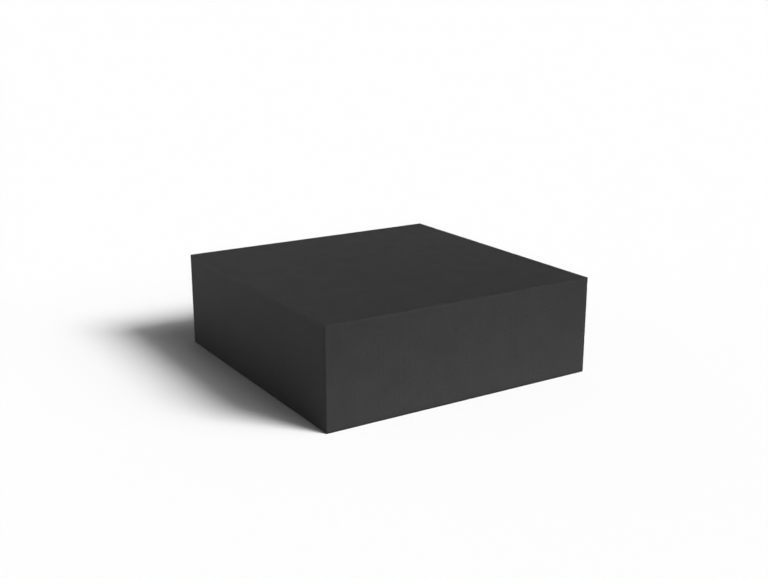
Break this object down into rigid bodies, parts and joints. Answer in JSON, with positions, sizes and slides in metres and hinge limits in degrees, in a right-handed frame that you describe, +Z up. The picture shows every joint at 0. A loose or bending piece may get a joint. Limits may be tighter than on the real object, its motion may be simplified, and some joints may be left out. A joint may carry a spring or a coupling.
{
  "type": "charcoal drawing block",
  "caption": "Square, flat block of compressed charcoal for drawing, with plain matte charcoal-grey faces and crisp, straight edges.",
  "frame": {"origin": "centre of the bottom face, on the surface that the block rests on", "axes": "+Z up, through the thickness, out of the top face; +X and +Y across the square faces, square to the side faces"},
  "size_m": [0.06, 0.06, 0.02],
  "materials": {
    "compressed_charcoal": "matte"
  },
  "bodies": {
    "root": {"charcoal_block": "compressed_charcoal"}
  },
  "joints": []
}
